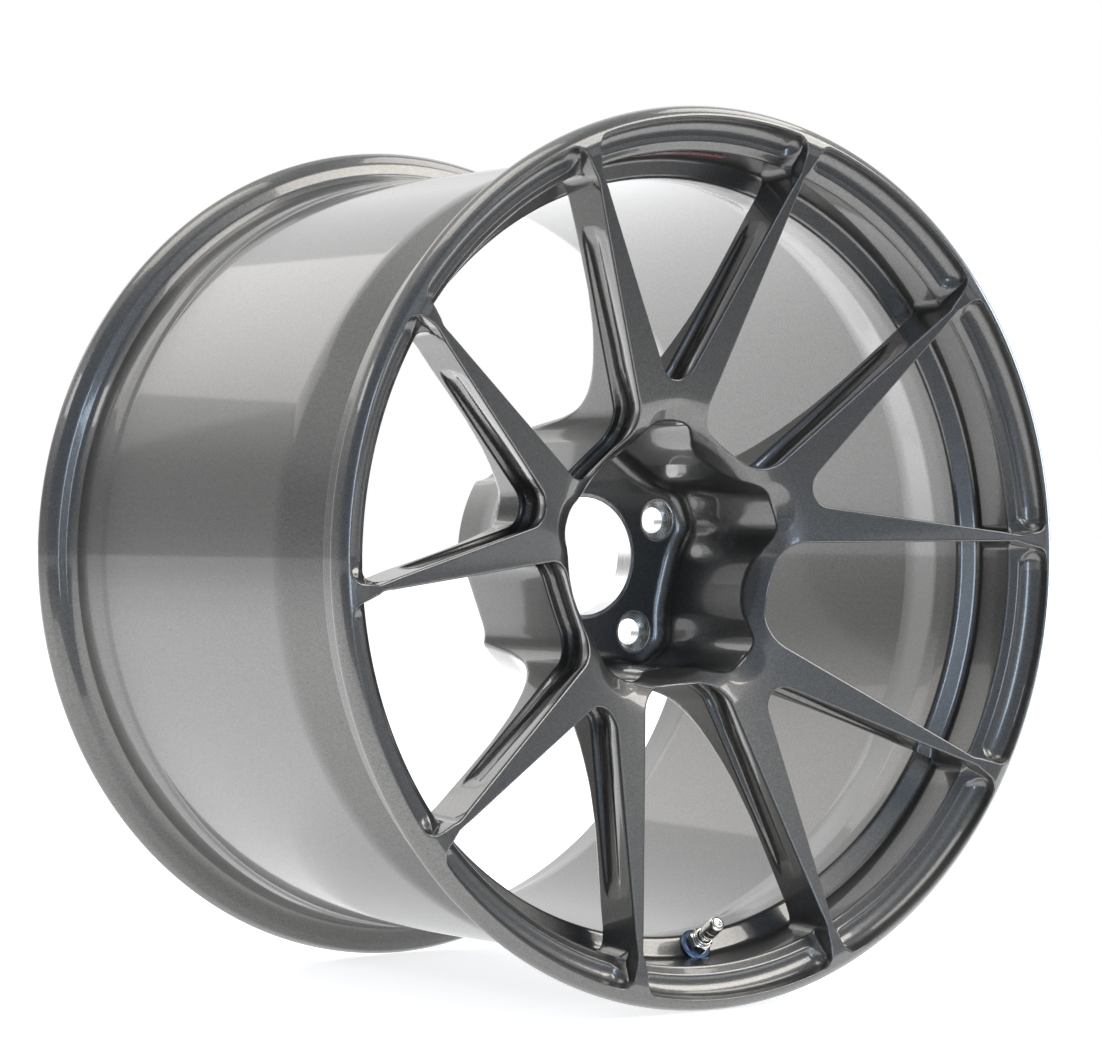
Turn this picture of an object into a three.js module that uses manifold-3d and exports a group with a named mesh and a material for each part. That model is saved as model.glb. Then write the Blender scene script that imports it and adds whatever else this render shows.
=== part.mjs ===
// Racing wheel: 18 x 12 inch forged wheel with ten spokes in five pairs, five lug
// seats and a clamp-in metal valve. Millimetres. The wheel axis is Y, the outboard
// face looks along -Y and +Z is up. The origin is on the axis at mid width.
// A station is the distance behind the foremost plane of the front lip, and every
// profile below is a list of [radius, station] points.

import * as THREE from 'three';
import { mergeVertices } from 'three/addons/utils/BufferGeometryUtils.js';
import Module from 'manifold-3d';

const wasm = await Module();
wasm.setup();

// Rim
const WIDTH = 334;              // overall, over both flanges
const FLANGE_R = 248.3;         // 18 inch rim with a J flange
const SEAT_R = 231;
const BARREL_R = 227;
const BARREL_WALL = 6;
const WELL_R = 217;             // floor of the drop centre, tyre side
const WELL_BACK_R = 210.8;      // the same, seen from the wheel's inside
const WALL_R = 226.3;           // window wall under the front bead seat
const RIM_SPLIT_R = 222.3;      // spokes end here, the rim begins
const RIM_SPLIT = 104;          // station where the front rim meets the barrel
const SEGMENTS = 90;

// Spoked centre
const PAIRS = 5;
const PAIR_ANGLE = 21.15;       // first pair and first lug, degrees from +X
const FACE_STATION = 34.8;      // station of the spoke face at FACE_R
const FACE_R = 100;
const FACE_SLOPE = 0.2606;      // the face is a shallow cone that opens outboard
const HUB_SPLIT_R = 112;        // spokes begin here, the hub ends
const LEDGE_STATION = 15.7;     // step around each window, behind the lip
const GROOVE_R = 241;           // outer edge of that step
const WINDOW_END = 38.5;        // back end of the window wall

// Hub
const LUG_CIRCLE_R = 57.15;     // 5 x 114.3
const LUG_HOLE_R = 7.6;
const LUG_CONE_R = 11.45;
const LUG_CONE_DEPTH = 5.3;
const BORE_R = 34.05;
const POCKET_FLOOR = 131.6;
const HUB_BACK = 145.1;         // mounting face
const HUB_BACK_R = 79;
const POCKET_R = 62;            // at the waists, between lugs
const POCKET_LOBE = 14;         // more than that at the lugs
const LOBE_HALF_ANGLE = 16.3;

// Valve
const VALVE_ANGLE = PAIR_ANGLE - 3 * 36;
const VALVE_R = 217.05;         // where its axis crosses the drop centre's slope
const VALVE_STATION = 42;
const VALVE_TILT = 56.3;        // from the wheel's radius, towards the front
const VALVE_WALL = 8.5;         // metal between the two rubber-sealed faces

const GAP = 0.3;                // between pieces that touch

const PAINT = { color: 0x4a4d50, roughness: 0.32, metalness: 0.85 };
const NICKEL = { color: 0xb9b4aa, roughness: 0.22, metalness: 1.0 };
const BRASS = { color: 0xb08d4a, roughness: 0.35, metalness: 1.0 };
const STEEL = { color: 0x8f9296, roughness: 0.3, metalness: 1.0 };
const RUBBER = { color: 0x17181a, roughness: 0.85, metalness: 0.0 };
const LABEL = { color: 0x7c1420, roughness: 0.4, metalness: 0.1 };

const wheel = new THREE.Group();

// ---- solids ----

function toSolid(geometry) {
  const bare = geometry.index ? geometry.toNonIndexed() : geometry.clone();
  bare.deleteAttribute('normal');
  bare.deleteAttribute('uv');
  const merged = mergeVertices(bare, 1e-4);
  const mesh = new wasm.Mesh({
    numProp: 3,
    vertProperties: new Float32Array(merged.attributes.position.array),
    triVerts: new Uint32Array(merged.index.array),
  });
  return new wasm.Manifold(mesh);
}

function toGeometry(solid) {
  const mesh = solid.getMesh();
  const geometry = new THREE.BufferGeometry();
  geometry.setAttribute('position', new THREE.BufferAttribute(mesh.vertProperties.slice(), 3));
  geometry.setIndex(new THREE.BufferAttribute(mesh.triVerts.slice(), 1));
  geometry.computeVertexNormals();
  return geometry;
}

// Closed profile turned about Y. Half a segment of phase puts a flat at the bottom.
function turned(profile, segments = SEGMENTS, phase = Math.PI / segments) {
  const points = profile.map(([r, y]) => new THREE.Vector2(r, y));
  const area = points.reduce((sum, p, i) => {
    const q = points[(i + 1) % points.length];
    return sum + p.x * q.y - q.x * p.y;
  }, 0);
  if (area < 0) points.reverse();
  points.push(points[0].clone());
  return toSolid(new THREE.LatheGeometry(points, segments, phase));
}

// Wheel profile in stations.
const ring = (profile) => turned(profile.map(([r, station]) => [r, station - WIDTH / 2]));

// Outline in the wheel's plane (x, z), between two stations.
function prism(shape, from, to) {
  const geometry = new THREE.ExtrudeGeometry(shape, {
    depth: to - from, bevelEnabled: false, curveSegments: 3,
  });
  geometry.rotateX(Math.PI / 2);
  geometry.translate(0, to - WIDTH / 2, 0);
  return toSolid(geometry);
}

const polar = (r, degrees) => {
  const a = THREE.MathUtils.degToRad(degrees);
  return new THREE.Vector2(r * Math.cos(a), r * Math.sin(a));
};

// Polygon whose corners are rounded where a radius is given: [x, z, radius].
function roundedOutline(corners, turn) {
  const points = corners.map(([x, z]) => new THREE.Vector2(x, z)
    .rotateAround(new THREE.Vector2(), THREE.MathUtils.degToRad(turn)));
  const shape = new THREE.Shape();
  points.forEach((p, i) => {
    const before = points.at(i - 1).clone().sub(p).normalize();
    const after = points[(i + 1) % points.length].clone().sub(p).normalize();
    const half = Math.acos(THREE.MathUtils.clamp(before.dot(after), -1, 1)) / 2;
    const reach = (corners[i][2] ?? 0) / Math.tan(half);
    const start = p.clone().addScaledVector(before, reach);
    if (i === 0) shape.moveTo(start.x, start.y);
    else shape.lineTo(start.x, start.y);
    if (reach > 0) {
      const end = p.clone().addScaledVector(after, reach);
      shape.quadraticCurveTo(p.x, p.y, end.x, end.y);
    }
  });
  shape.closePath();
  return shape;
}

// ---- windows ----

// Half outlines, mirrored about the window's centre line: [along, across, rounding].
const PAIR_SIDE = (x) => 13 + 0.544 * (x - 110);
const GAP_SIDE = (x) => 37.1 + 0.27 * (x - 109);

function arcPoints(radius, from) {
  return [0.66, 0.33].map((part) => {
    const p = polar(radius, from * part);
    return [p.x, p.y];
  });
}

function windowHalf(root, side, cornerX, radius, rounding) {
  const corner = [cornerX, side(cornerX)];
  const angle = THREE.MathUtils.radToDeg(Math.atan2(corner[1], corner[0]));
  return [...root, [...corner, rounding], ...arcPoints(radius, angle), [radius, 0.001]];
}

// The outline starts at the root, so the mirrored half closes on it.
function windowShape(half, turn) {
  const tip = half.at(-1);
  const body = half.slice(0, -1);
  const back = body.slice().reverse().map(([x, w, r]) => [x, -w, r]);
  const corners = [...body, [tip[0], 0], ...back];
  const unique = corners.filter(([x, w], i) => {
    const [px, pw] = corners.at(i - 1);
    return Math.hypot(x - px, w - pw) > 0.01;
  });
  return roundedOutline(unique, turn);
}

const pairWindow = windowHalf([[86.1, 0, 11.85]], PAIR_SIDE, 214.8, WALL_R, 14);
const gapWindow = windowHalf([[72, 0], [72, 27.1, 27]], GAP_SIDE, 216, WALL_R, 14);
const pairGroove = windowHalf([[198, 40], [198, PAIR_SIDE(198)], [212, 68.8, 4]],
  () => 72, 230, GROOVE_R, 11);
const gapGroove = windowHalf([[198, 40], [198, GAP_SIDE(198)], [207, 63.8, 4]],
  () => 64.3, 232.3, GROOVE_R, 11);

function windowCutters() {
  const through = [];
  const steps = [];
  for (let i = 0; i < PAIRS; i += 1) {
    const turn = PAIR_ANGLE + i * 360 / PAIRS;
    through.push(windowShape(pairWindow, turn), windowShape(gapWindow, turn + 180 / PAIRS));
    steps.push(windowShape(pairGroove, turn), windowShape(gapGroove, turn + 180 / PAIRS));
  }
  return { through, steps };
}

// ---- forging ----

const faceStation = (r) => FACE_STATION - FACE_SLOPE * (r - FACE_R);

// Front face from the pocket's edge outwards: a dish that runs into the cone.
const DISH = [[52, 70], [60, 64], [65, 58.7], [70, 52.2], [75, 46.7], [80, 42.7], [85, 39.7],
  [91, 37.1], [FACE_R, FACE_STATION]];
// Back of the spokes, from the rim to the hub's mounting face.
const SPOKE_BACK = [[200, 40.2], [179, 44.7], [158, 49.7], [137, 57.2], [115, 69.2],
  [105, 76.8], [96, 86], [88, 98], [HUB_BACK_R + 1.5, 140], [HUB_BACK_R - 2, HUB_BACK]];

function pocketOutline() {
  const shape = new THREE.Shape();
  const steps = 60;
  for (let i = 0; i < steps; i += 1) {
    const angle = i * 360 / steps;
    const fromLug = ((angle + 36) % 72) - 36;
    const lobe = POCKET_LOBE / (1 + (fromLug / LOBE_HALF_ANGLE) ** 4);
    const p = polar(POCKET_R + lobe, PAIR_ANGLE + angle);
    if (i === 0) shape.moveTo(p.x, p.y);
    else shape.lineTo(p.x, p.y);
  }
  shape.closePath();
  return shape;
}

function lugCutter() {
  const back = POCKET_FLOOR - WIDTH / 2;
  return turned([[0, back - 4], [LUG_CONE_R, back - 4], [LUG_CONE_R, back],
    [LUG_HOLE_R + 0.8, back + LUG_CONE_DEPTH], [LUG_HOLE_R, back + LUG_CONE_DEPTH],
    [LUG_HOLE_R, HUB_BACK + 2 - WIDTH / 2], [0, HUB_BACK + 2 - WIDTH / 2]], 24, 0);
}

function spokedCentre(cutters) {
  let centre = ring([...DISH, [RIM_SPLIT_R - GAP, faceStation(RIM_SPLIT_R)],
    [RIM_SPLIT_R - GAP, WINDOW_END - 0.4], ...SPOKE_BACK, [30, HUB_BACK], [30, 90]]);
  centre = centre.subtract(prism(pocketOutline(), 0, POCKET_FLOOR));
  cutters.through.forEach((shape) => {
    centre = centre.subtract(prism(shape, -5, HUB_BACK + 5));
  });
  centre = centre.subtract(stepCutter(cutters.steps));
  const bore = ring([[0, 80], [BORE_R, 80], [BORE_R, 150], [0, 150]]);
  centre = centre.subtract(bore);
  const lug = lugCutter();
  for (let i = 0; i < PAIRS; i += 1) {
    const p = polar(LUG_CIRCLE_R, PAIR_ANGLE + i * 360 / PAIRS);
    centre = centre.subtract(lug.translate([p.x, 0, p.y]));
  }
  return centre;
}

// The step has a flat floor and a wall that leans out to the lip.
function stepCutter(shapes) {
  const prisms = shapes.map((shape) => prism(shape, -5, LEDGE_STATION));
  const floor = ring([[190, -10], [190, LEDGE_STATION], [232, LEDGE_STATION], [236, 12.6],
    [239.6, 6.8], [GROOVE_R, -10]]);
  return wasm.Manifold.union(prisms).intersect(floor);
}

function band(from, to) {
  return ring([[from, -10], [to, -10], [to, WIDTH], [from, WIDTH]]);
}

function frontRim(cutters) {
  let rim = ring([
    [RIM_SPLIT_R, faceStation(RIM_SPLIT_R)], [231, 0.6], [239, 0], [244.4, 2], [247.4, 4.6],
    [FLANGE_R, 8], [246.4, 12.2], [240.5, 17], [234.2, 19.4], [SEAT_R + 0.4, 23.6],
    [SEAT_R - 1, 37], [SEAT_R, 39.5], [229.6, 43], [WELL_R + 0.8, 51.4], [WELL_R, 55],
    [WELL_R, 62], [BARREL_R, 97], [BARREL_R, RIM_SPLIT - GAP],
    [BARREL_R - BARREL_WALL, RIM_SPLIT - GAP], [BARREL_R - BARREL_WALL, 99],
    [WELL_BACK_R, 58], [WELL_BACK_R, 47.6], [RIM_SPLIT_R, WINDOW_END],
  ]);
  cutters.through.forEach((shape) => {
    rim = rim.subtract(prism(shape, -5, WINDOW_END));
  });
  return rim.subtract(stepCutter(cutters.steps));
}

const rearRim = () => ring([
  [BARREL_R, RIM_SPLIT], [BARREL_R, 288], [228.6, 291], [230.2, 300.5],
  [SEAT_R + 0.2, 316.4], [234.2, 320], [240.5, 321.6], [245.6, 325.4], [FLANGE_R, 330],
  [246.6, 333.2], [243.4, WIDTH], [235.5, 329], [227.4, 324], [224.6, 303],
  [BARREL_R - BARREL_WALL, 294], [BARREL_R - BARREL_WALL, RIM_SPLIT],
]);

function mesh(name, solid, finish, parent = wheel) {
  const part = new THREE.Mesh(toGeometry(solid), new THREE.MeshStandardMaterial(finish));
  part.name = name;
  parent.add(part);
  return part;
}

function buildForging() {
  const cutters = windowCutters();
  const valve = valveHole();
  const centre = spokedCentre(cutters);
  mesh('front_rim', frontRim(cutters).subtract(valve), PAINT);
  mesh('rear_rim', rearRim(), PAINT);
  mesh('hub_centre', centre.intersect(band(20, HUB_SPLIT_R)), PAINT);
  const spokes = centre.intersect(band(HUB_SPLIT_R + GAP, RIM_SPLIT_R)).decompose();
  const angleOf = (solid) => {
    const box = solid.boundingBox();
    const x = (box.min[0] + box.max[0]) / 2;
    const z = (box.min[2] + box.max[2]) / 2;
    return (THREE.MathUtils.radToDeg(Math.atan2(z, x)) - PAIR_ANGLE + 720) % 360;
  };
  spokes.sort((a, b) => angleOf(a) - angleOf(b));
  spokes.forEach((solid, i) => {
    mesh(`spoke_${String(i + 1).padStart(2, '0')}`, solid, PAINT);
  });
}

// ---- valve ----

// Local +Z runs from the rim's wall towards the cap, and z = 0 is the inner face.
function valveFrame() {
  const frame = new THREE.Group();
  const radial = polar(1, VALVE_ANGLE);
  const outward = new THREE.Vector3(radial.x, 0, radial.y);
  const tilt = THREE.MathUtils.degToRad(VALVE_TILT);
  const axis = outward.clone().multiplyScalar(-Math.cos(tilt))
    .add(new THREE.Vector3(0, -Math.sin(tilt), 0));
  frame.position.copy(outward.multiplyScalar(VALVE_R)).setY(VALVE_STATION - WIDTH / 2);
  frame.quaternion.setFromUnitVectors(new THREE.Vector3(0, 0, 1), axis);
  frame.updateMatrix();
  return frame;
}

// Profile of [radius, height] turned about the valve's axis.
function spun(profile, segments = 32) {
  return turned(profile, segments, 0).rotate([90, 0, 0]);
}

function valveHole() {
  const frame = valveFrame();
  const hole = spun([[0, -25], [5.8, -25], [5.8, 12], [0, 12]], 24);
  const spotface = spun([[0, -VALVE_WALL - 9], [8.7, -VALVE_WALL - 9], [8.7, -VALVE_WALL],
    [0, -VALVE_WALL]], 24);
  return hole.add(spotface).transform(frame.matrix.toArray());
}

const STEM_R = 3.85;
const STEM_TOP = 23.2;
const CORE_BORE_R = 2.5;
const CORE_R = 2.2;
const PIN_R = 0.55;

function hexNut() {
  const nut = spun([[STEM_R + GAP, 1.9], [6.9, 1.9], [6.9, 7], [5.6, 8],
    [5.4, 10.4], [STEM_R + GAP, 10.4]], 24);
  const flats = spun([[0, 0], [7.1, 0], [7.1, 7.6], [0, 7.6]], 6);
  const collar = spun([[0, 7.6], [5.9, 7.6], [5.9, 12], [0, 12]], 24);
  return nut.intersect(flats.add(collar));
}

function valveCap() {
  const top = 26.2;
  const bore = STEM_R + GAP;
  const cap = spun([[bore, 13.8], [4.3, 13.6], [4.5, 14], [4.5, 24.2], [3.8, 25.7],
    [2.3, top], [1, top - 0.5], [0, top - 0.6], [0, 24.4], [bore, 24.4]], 24);
  const groove = spun([[4.25, 15.2], [5, 15.2], [5, 16], [4.25, 16]], 24);
  return cap.subtract(groove);
}

// The pin carries the valve's seal below the core and a collar for its spring.
function corePin() {
  return spun([[0, 7.9], [1.6, 7.9], [1.9, 8.6], [1.9, 10], [PIN_R, 10.4], [PIN_R, 18.2],
    [1.5, 18.2], [1.5, 18.7], [PIN_R, 18.7], [PIN_R, STEM_TOP - 0.4], [0, STEM_TOP - 0.3]], 12);
}

function coreSpring() {
  const turns = 4;
  const stepsPerTurn = 8;
  const from = 12.4;
  const rise = 4.4;
  const points = [];
  for (let i = 0; i <= turns * stepsPerTurn; i += 1) {
    const a = i * 2 * Math.PI / stepsPerTurn;
    points.push(new THREE.Vector3(1.2 * Math.cos(a), 1.2 * Math.sin(a),
      from + rise * i / (turns * stepsPerTurn)));
  }
  const wire = new THREE.Shape();
  wire.absarc(0, 0, 0.22, 0, 2 * Math.PI);
  return toSolid(new THREE.ExtrudeGeometry(wire, {
    steps: points.length - 1, curveSegments: 3, bevelEnabled: false,
    extrudePath: new THREE.CatmullRomCurve3(points),
  }));
}

function buildValve() {
  const frame = valveFrame();
  wheel.add(frame);
  const back = -VALVE_WALL;
  mesh('valve_stem', spun([[CORE_BORE_R, back - 7.5], [4.4, back - 7.5], [8, back - 6.2],
    [8, back - 3.4], [4.1, back - 3.2], [4.1, 0.6], [STEM_R, 1],
    [STEM_R, STEM_TOP - 0.5], [STEM_R - 0.4, STEM_TOP], [CORE_BORE_R, STEM_TOP]], 24),
  NICKEL, frame);
  mesh('valve_tyre_side_seal', spun([[4.4, back - 2.9], [7.8, back - 2.9],
    [7.8, back - 0.4], [5.4, back - 0.4], [5.4, -1.2], [4.4, -1.2]], 24), RUBBER, frame);
  mesh('valve_washer', spun([[STEM_R + 0.5, 0.5], [8, 0.5], [8.25, 0.8], [8.05, 1.4],
    [7.4, 1.6], [STEM_R + 0.5, 1.6]], 30), STEEL, frame);
  mesh('valve_nut', hexNut(), NICKEL, frame);
  mesh('valve_core_body', spun([[PIN_R + GAP, 10.7], [CORE_R - 0.2, 10.7], [CORE_R, 11.2],
    [CORE_R, STEM_TOP - 0.8], [PIN_R + GAP, STEM_TOP - 0.8], [PIN_R + GAP, 20.2],
    [1.75, 20.2], [1.75, 12], [PIN_R + GAP, 12]], 16), BRASS, frame);
  mesh('valve_core_pin', corePin(), BRASS, frame);
  mesh('valve_core_spring', coreSpring(), STEEL, frame);
  mesh('valve_cap', valveCap(), NICKEL, frame);
  mesh('valve_cap_seal', spun([[1.3, 23.5], [3.6, 23.5], [3.6, 24.1], [1.3, 24.1]], 20),
    RUBBER, frame);
}

// ---- label on the window wall ----

function buildLabel() {
  const radius = WALL_R - 1;
  const halfAngle = 8;
  const shape = new THREE.Shape();
  const turn = PAIR_ANGLE + 72;
  const arc = (r, a, b) => [0, 1, 2, 3, 4, 5, 6].map((i) => polar(r, turn + a + (b - a) * i / 6));
  const outline = [...arc(radius, -halfAngle, halfAngle), ...arc(radius - 0.5, halfAngle, -halfAngle)];
  shape.setFromPoints(outline);
  mesh('window_wall_label', prism(shape, LEDGE_STATION + 4, WINDOW_END - 6), LABEL);
}

buildForging();
buildValve();
buildLabel();

export default wheel;
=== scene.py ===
import math

import bpy
import numpy as np
from mathutils import Matrix, Vector


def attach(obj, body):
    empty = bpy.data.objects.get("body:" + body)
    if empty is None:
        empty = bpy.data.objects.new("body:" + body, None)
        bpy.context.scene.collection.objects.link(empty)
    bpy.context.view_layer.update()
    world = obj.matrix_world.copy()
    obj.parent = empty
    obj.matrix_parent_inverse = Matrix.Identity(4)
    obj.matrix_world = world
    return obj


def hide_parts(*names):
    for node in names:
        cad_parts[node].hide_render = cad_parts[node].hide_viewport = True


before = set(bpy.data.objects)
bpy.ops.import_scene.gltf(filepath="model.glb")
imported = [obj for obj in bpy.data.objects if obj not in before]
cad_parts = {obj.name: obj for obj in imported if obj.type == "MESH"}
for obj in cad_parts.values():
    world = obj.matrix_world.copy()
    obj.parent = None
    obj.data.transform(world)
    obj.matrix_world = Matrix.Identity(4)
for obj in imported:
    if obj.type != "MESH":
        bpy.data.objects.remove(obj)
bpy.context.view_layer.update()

for leftover in ("Cube", "Light", "Camera"):
    if leftover in bpy.data.objects:
        bpy.data.objects.remove(bpy.data.objects[leftover])

# Forged racing wheel. The axis is Y, the face points to -Y and Z is up. Lengths inside
# the shape code are millimetres; a station is a distance behind the front lip's crest.
MM = 0.001
HALF_WIDTH = 167.0
PAIRS = 5
HALF_SECTOR = math.pi / PAIRS        # from a pair's centre line to the gap's
PAIR_ANGLE = math.radians(21.15)
SPLIT_STATION = 104.0                # the barrel is its own piece behind this plane

FACE_R, FACE_STATION, FACE_SLOPE = 100.0, 34.8, 0.2606
LEDGE_STATION, LEDGE_FILLET = 12.4, 10.5
POCKET_FLOOR, POCKET_FILLET = 131.6, 8.0
HUB_BACK = 145.1
WALL_R, WALL_LEAN = 225.3, 0.082     # windows' outer walls: radius at the step, and slope
WALL_OUTSIDE = 0.4                   # how far that is outside the wall that RIM gives
BARREL_OUTER_R, BARREL_INNER_R = 227.0, 221.0
LUG_CIRCLE_R, LUG_CUT_R, BORE_CUT_R = 57.15, 12.0, 35.0
POCKET_R, POCKET_LOBE, LOBE_HALF_ANGLE = 62.0, 14.0, math.radians(16.3)
FRONT_EDGE, BACK_EDGE, STEP_EDGE = 1.0, 1.6, 0.9
CHAMFER, CHAMFER_TAPER, CHAMFER_EDGE = 4.0, 0.85, 0.3
NORMAL_REACH = 0.6                   # half the length over which a normal is measured
RIM_ONLY_R = 150.0                   # beyond this, what reaches the split plane is the barrel

# side recess of a spoke across its thickness: distance from its middle line, and depth
RECESS_MIDDLE, RECESS_END = 16.0, 184.0
RECESS_OFF = (-26, -11.5, -5.0, -1.5, 4.0, 7.0, 8.4, 22)
RECESS_DEEP = (-6.0, 0.0, 2.0, 4.2, 4.4, 2.8, 0.0, -18)
RECESS_FULL, RECESS_FADE = 4.4, 8.0

# the valve's axis crosses the rim's slope on a gap's centre line
VALVE_SECTOR = 3
VALVE_R, VALVE_STATION, VALVE_TILT = 217.05, 42.0, math.radians(56.3)

# grid of the forging: radial stretches (from, to, step), columns each side of a spoke, and
# layers behind the face
COARSER = 1.0
SIDE_COLUMNS = 30
RADIAL_STEPS = ((30, 44, 3.0), (44, 70, 1.4), (70, 118, 1.4), (118, 194, 3.8), (194, 221, 1.4),
                (221, 251, 1.0))
FACE_LAYERS = (-4, -0.2, 0.2, 0.5, 0.9, 1.4, 2.1, 3.1, 4.1, 4.9, 6.2, 7.6, 9.2, 11.0, 12.4,
               13.8, 15.4, 17.2, 19.2, 21.0, 22.4, 23.6, 24.5, 25.4, 27)


# ---- outlines ----

def filleted(corners, steps=8):
    """Closed polyline from corners (u, v, radius)."""
    out = []
    n = len(corners)
    for i, (u, v, radius) in enumerate(corners):
        p = np.array([u, v], float)
        a = np.array(corners[i - 1][:2], float) - p
        b = np.array(corners[(i + 1) % n][:2], float) - p
        la, lb = np.linalg.norm(a), np.linalg.norm(b)
        if radius <= 0 or la < 1e-6 or lb < 1e-6:
            out.append(p)
            continue
        a, b = a / la, b / lb
        half = math.acos(np.clip(a @ b, -1, 1)) / 2
        if half > math.pi / 2 - 1e-3:
            out.append(p)
            continue
        reach = min(radius / math.tan(half), 0.49 * la, 0.49 * lb)
        radius = reach * math.tan(half)
        centre = p + (a + b) / np.linalg.norm(a + b) * radius / math.sin(half)
        start, end = p + a * reach - centre, p + b * reach - centre
        a0 = math.atan2(start[1], start[0])
        turn = (math.atan2(end[1], end[0]) - a0 + math.pi) % (2 * math.pi) - math.pi
        for t in np.linspace(0, 1, steps + 1):
            ang = a0 + turn * t
            out.append(centre + radius * np.array([math.cos(ang), math.sin(ang)]))
    return np.array(out)


def polygon_distance(u, v, poly):
    """Signed distance, negative inside, at points u, v of any one shape."""
    best = np.full(u.shape, 1e9)
    inside = np.zeros(u.shape, bool)
    for (x0, y0), (x1, y1) in zip(poly, np.roll(poly, -1, axis=0)):
        dx, dy = x1 - x0, y1 - y0
        length2 = dx * dx + dy * dy
        if length2 < 1e-12:
            continue
        t = np.clip(((u - x0) * dx + (v - y0) * dy) / length2, 0, 1)
        best = np.minimum(best, (u - x0 - t * dx) ** 2 + (v - y0 - t * dy) ** 2)
        crosses = (y0 > v) != (y1 > v)
        if dy:
            inside ^= crosses & (u < x0 + (v - y0) * dx / dy)
    return np.where(inside, -1, 1) * np.sqrt(best)


# profiles (radius, station, fillet): what lies behind the face, in front of the disc's back,
# and inside the rim
FACE = filleted([
    (-20, 200, 0), (-20, 100, 0), (50, 82, 0), (58, 70.5, 0), (62.5, 61.2, 20),
    (68, 51.8, 12), (73.5, 45.3, 25), (80, 41.2, 30), (88, 38.0, 60), (FACE_R, FACE_STATION, 0),
    (231, 0.66, 30), (238.2, 0.0, 8), (243.4, 1.2, 6), (246.8, 3.8, 6), (248.3, 8.2, 8),
    (248.3, 200, 0)])

DISC = filleted([
    (30, -20, 0), (238, -20, 0), (238, 34, 0), (222, 37.2, 0), (211, 37.8, 20),
    (200, 40.2, 60), (179, 44.7, 60), (158, 49.7, 60), (137, 57.2, 60), (126, 62.8, 60),
    (115, 69.2, 60), (105, 76.8, 50), (96, 86, 50), (88, 99, 50), (83.5, 116, 80),
    (79.2, HUB_BACK, 1.0), (30, HUB_BACK, 0)])

RIM = filleted([
    (252, -20, 0), (252, 8.4, 0), (246.4, 12.6, 4), (240.5, 17, 8), (234.4, 19.3, 6),
    (231.3, 23.8, 5), (229.9, 34.8, 5), (231.2, 38.6, 3), (230.4, 42, 3), (217.8, 51.2, 7),
    (217, 56, 6), (217, 62, 30), (BARREL_OUTER_R, 97, 40), (BARREL_OUTER_R, 150, 0),
    (BARREL_INNER_R, 150, 0), (BARREL_INNER_R, 99.2, 60), (211.3, 66.5, 14),
    (210.9, 54, 60), (211.3, 45.0, 3.0), (222.6, 40.4, 3.5), (224.9, 12.4, 0), (227.6, -20, 0)])


def mirrored(half):
    """Outline about the centre line from its upper half, both in (along, across, radius)."""
    lower = [(x, -w, r) for x, w, r in reversed(half) if w > 1e-9]
    return filleted(list(half) + lower, 12)


def arc_to(radius, w_from, x_from, steps=10):
    """Corners on a circle from the direction of (x_from, w_from) down to the centre line."""
    a = math.atan2(w_from, x_from)
    return [(radius * math.cos(t), radius * math.sin(t), 0)
            for t in np.linspace(a, 0, steps + 1)[1:]]


def pair_edge(x):
    """Half the width of the window inside a pair of spokes, x out from the axis."""
    return 13 + 0.544 * (x - 110)


def gap_edge(x):
    """Half the width of the window between two pairs."""
    return 37.1 + 0.27 * (x - 109)


PAIR_WINDOW = mirrored([(86.1, 0, 11.85), (214.6, pair_edge(214.6), 14)]
                       + arc_to(WALL_R, 60, 214.6))
GAP_WINDOW = mirrored([(72, 0, 0), (72, 27.1, 26), (215.8, gap_edge(215.8), 14)]
                      + arc_to(WALL_R, 57, 215.8))
PAIR_STEP = mirrored([(197, 40, 0), (198, pair_edge(198), 2), (212, 68.9, 6), (229.6, 72.4, 10)]
                     + arc_to(241.3, 66, 232))
GAP_STEP = mirrored([(197, 40, 0), (198, gap_edge(198), 2), (207.5, 63.9, 6), (232.3, 64.4, 10)]
                    + arc_to(241.3, 58, 234))


def pocket_outline():
    """The hub's pocket: a circle with a lobe round each lug."""
    out = []
    for a in np.linspace(-math.pi, math.pi, 721)[:-1]:
        near = (a + HALF_SECTOR) % (2 * HALF_SECTOR) - HALF_SECTOR
        r = POCKET_R + POCKET_LOBE / (1 + (near / LOBE_HALF_ANGLE) ** 4)
        out.append((r * math.cos(a), r * math.sin(a)))
    return np.array(out)


# ---- distance field ----

class Table:
    """Values on a regular grid, read between its points."""

    def __init__(self, u0, du, v0, dv, values):
        self.u0, self.du, self.v0, self.dv = u0, du, v0, dv
        self.values = values.astype(np.float32)

    def __call__(self, u, v):
        fu, fv = (u - self.u0) / self.du, (v - self.v0) / self.dv
        iu = np.clip(fu.astype(int), 0, self.values.shape[0] - 2)
        iv = np.clip(fv.astype(int), 0, self.values.shape[1] - 2)
        fu, fv = fu - iu, fv - iv
        t = self.values
        return ((t[iu, iv] * (1 - fu) + t[iu + 1, iv] * fu) * (1 - fv)
                + (t[iu, iv + 1] * (1 - fu) + t[iu + 1, iv + 1] * fu) * fv)


def profile_table(poly, step=0.5):
    """Distance to an outline in radius and station."""
    r = np.arange(28, 256, step)
    s = np.arange(-6, 152, step)
    rr, ss = np.meshgrid(r, s, indexing="ij")
    return Table(r[0], step, s[0], step, polygon_distance(rr, ss, poly))


def plan_table(poly, about=0.0, step=0.75):
    """Distance, over half a sector, to an outline seen along the axis. Its centre line is at
    angle about."""
    r = np.arange(28, 256, step)
    a = np.linspace(0, HALF_SECTOR, 241)
    rr, aa = np.meshgrid(r, a, indexing="ij")
    return Table(r[0], step, 0.0, a[1],
                 polygon_distance(rr * np.cos(aa - about), rr * np.sin(aa - about), poly))


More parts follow.
